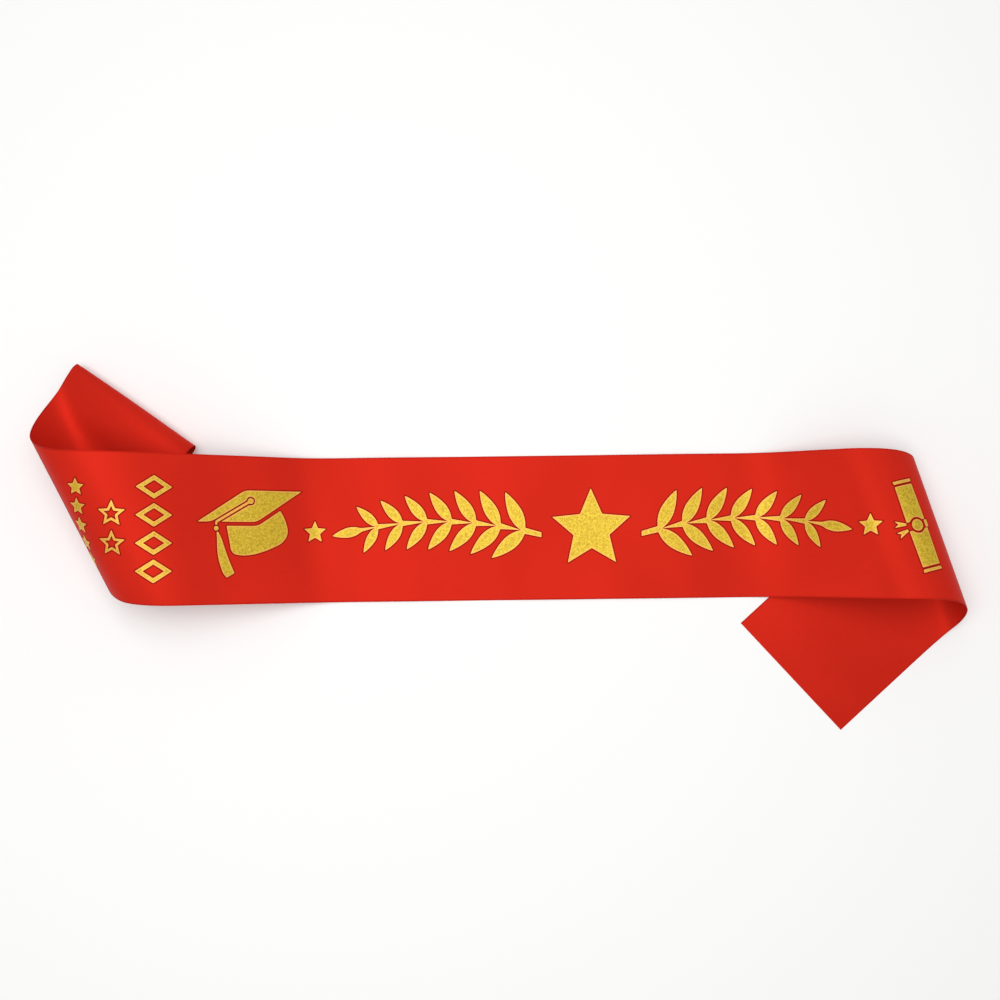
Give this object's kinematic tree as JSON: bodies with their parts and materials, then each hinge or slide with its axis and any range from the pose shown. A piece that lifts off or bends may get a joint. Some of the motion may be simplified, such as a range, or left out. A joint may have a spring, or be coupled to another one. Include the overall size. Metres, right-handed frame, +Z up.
{
  "type": "printed satin graduation sash",
  "caption": "Printed satin ribbon sash lying on its back, its middle flat and both ends rolled over and tucked under, with raised glitter ornaments along the front.",
  "frame": {"origin": "on the table, under the middle of the sash's box", "axes": "+X along the printed front to its right end, +Y towards the front's top edge, +Z up from the table"},
  "size_m": [0.595, 0.2462, 0.0659],
  "materials": {
    "red_satin": "satin",
    "gold_glitter_print": "glitter"
  },
  "bodies": {
    "root": {"satin_ribbon": "red_satin", "cap_board": "gold_glitter_print", "cap_bowl": "gold_glitter_print", "tassel_cord": "gold_glitter_print", "tassel_knot": "gold_glitter_print", "tassel_brush": "gold_glitter_print", "centre_star": "gold_glitter_print", "laurel_left": "gold_glitter_print", "laurel_right": "gold_glitter_print", "end_star_left": "gold_glitter_print", "end_star_right": "gold_glitter_print", "scroll_top_bar": "gold_glitter_print", "scroll_top_roll": "gold_glitter_print", "scroll_knot": "gold_glitter_print", "scroll_upper_tail": "gold_glitter_print", "scroll_lower_tail": "gold_glitter_print", "scroll_tab": "gold_glitter_print", "scroll_low_roll": "gold_glitter_print", "scroll_low_bar": "gold_glitter_print", "lozenge_1": "gold_glitter_print", "lozenge_2": "gold_glitter_print", "lozenge_3": "gold_glitter_print", "lozenge_4": "gold_glitter_print", "star_1": "gold_glitter_print", "star_2": "gold_glitter_print", "small_star_1": "gold_glitter_print", "small_star_2": "gold_glitter_print", "small_star_3": "gold_glitter_print", "small_star_4": "gold_glitter_print", "small_star_5": "gold_glitter_print"}
  },
  "joints": []
}
